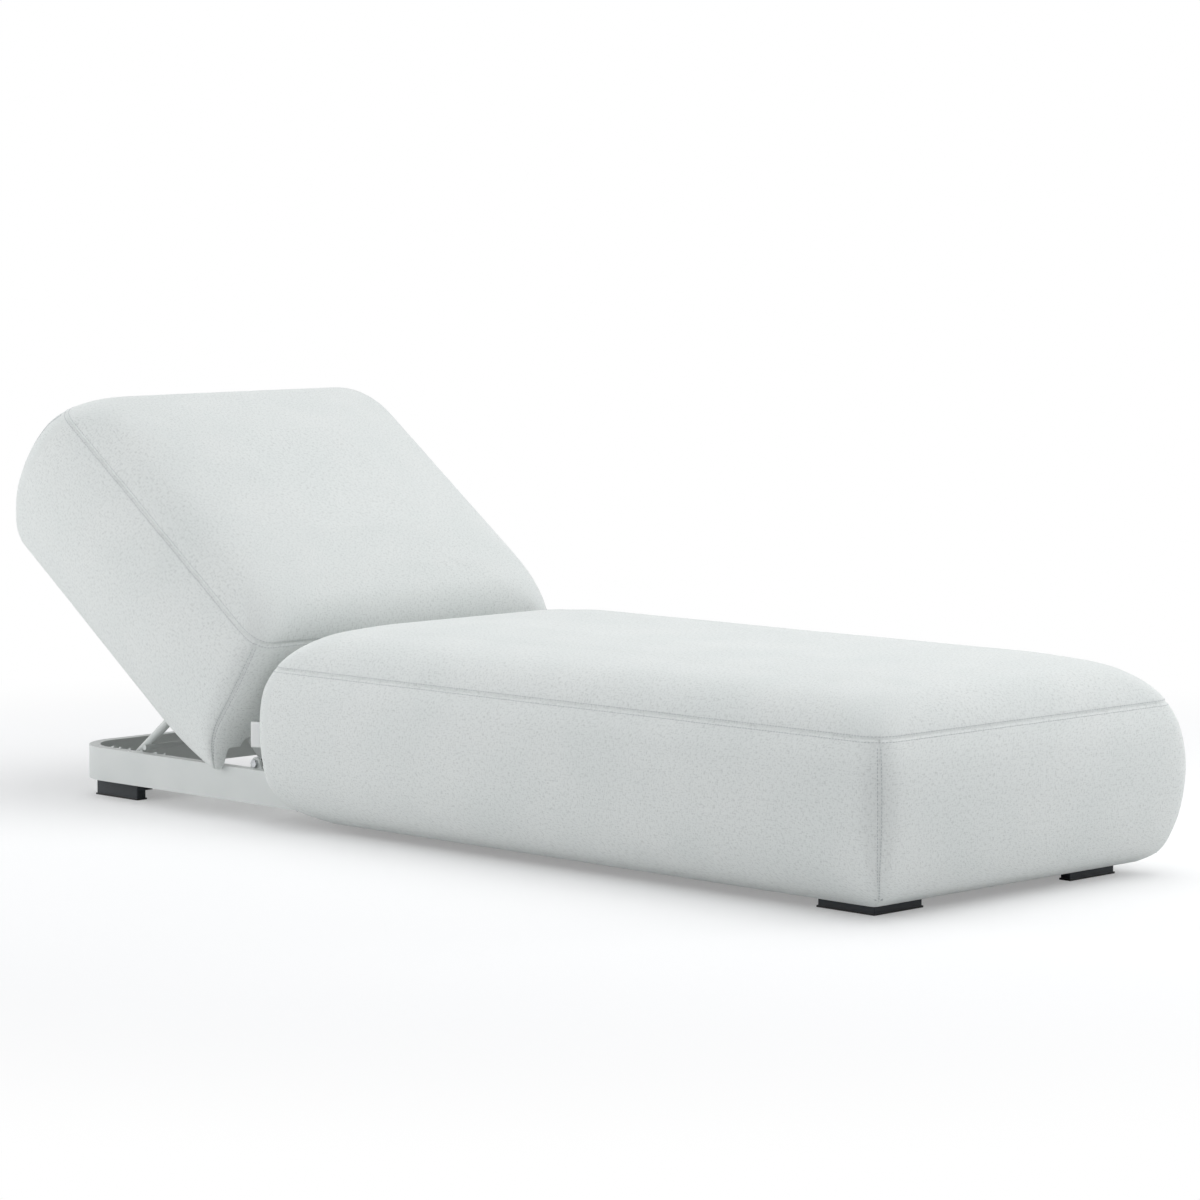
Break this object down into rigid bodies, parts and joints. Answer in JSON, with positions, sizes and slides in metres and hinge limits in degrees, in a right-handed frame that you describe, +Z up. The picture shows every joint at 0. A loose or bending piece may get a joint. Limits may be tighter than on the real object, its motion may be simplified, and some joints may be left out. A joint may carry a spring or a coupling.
{
  "type": "relaxation lounger",
  "caption": "Low upholstered spa lounger with a long seat block and a hinged backrest, both in light woven fabric, on a grey tube frame with dark corner feet.",
  "frame": {"origin": "centre of the bounding box on the floor, with the backrest in its raised rest pose", "axes": "+X towards the foot end, +Y to the left of someone who lies face up with the head at the backrest, +Z up"},
  "size_m": [2.1413, 0.776, 0.7256],
  "materials": {
    "upholstery": "heathered woven upholstery",
    "tab_cloth": "smooth woven tape",
    "plywood": "sanded birch plywood",
    "glide_plastic": "matte",
    "foot_paint": "matte charcoal powder coat",
    "rubber": "matte",
    "bush_plastic": "matte",
    "zinc_steel": "bright zinc plated",
    "frame_paint": "satin light grey powder coat"
  },
  "bodies": {
    "base": {"corner_plate_foot_left": "frame_paint", "corner_plate_foot_right": "frame_paint", "corner_plate_head_left": "frame_paint", "corner_plate_head_right": "frame_paint", "fabric_tab": "tab_cloth", "foot_foot_left": "foot_paint", "foot_foot_right": "foot_paint", "foot_glide_foot_left": "glide_plastic", "foot_glide_foot_right": "glide_plastic", "foot_glide_head_left": "glide_plastic", "foot_glide_head_right": "glide_plastic", "foot_head_left": "foot_paint", "foot_head_right": "foot_paint", "foot_rail": "frame_paint", "foot_screws": "zinc_steel", "head_rail": "frame_paint", "hinge_bracket_left": "frame_paint", "hinge_bracket_right": "frame_paint", "hinge_cross_rail": "frame_paint", "hinge_nuts": "zinc_steel", "hinge_pins": "zinc_steel", "hinge_spacers": "bush_plastic", "rack_left": "frame_paint", "rack_right": "frame_paint", "rubber_buffers": "rubber", "seat_cross_rail_1": "frame_paint", "seat_cross_rail_2": "frame_paint", "seat_cross_rail_3": "frame_paint", "seat_cushion": "upholstery", "seat_deck_board": "plywood", "side_rail_left": "frame_paint", "side_rail_right": "frame_paint"},
    "backrest": {"backrest_board": "plywood", "backrest_cushion": "upholstery", "backrest_head_bar": "frame_paint", "backrest_lower_bar": "frame_paint", "backrest_middle_bar": "frame_paint", "backrest_side_bar_left": "frame_paint", "backrest_side_bar_right": "frame_paint", "hinge_arm_left": "frame_paint", "hinge_arm_right": "frame_paint", "hinge_bushes": "bush_plastic", "prop_pivot_collars": "zinc_steel", "prop_pivot_rod": "frame_paint"},
    "prop": {"prop_lock_rod": "frame_paint", "prop_strut_left": "frame_paint", "prop_strut_right": "frame_paint"}
  },
  "joints": [
    {"name": "backrest_hinge", "type": "hinge", "parent": "base", "child": "backrest", "pos_m": [-0.4509, 0, 0.102], "axis": [0, 1, 0], "range_deg": [-36, 8]},
    {"name": "prop_swing", "type": "hinge", "parent": "backrest", "child": "prop", "pos_m": [-0.60487, 0, 0.23735], "axis": [0, 1, 0], "range_deg": [-16, 72]}
  ],
  "couplings": [
    {"joint": "prop_swing", "follows": "backrest_hinge", "ratio": -2}
  ]
}
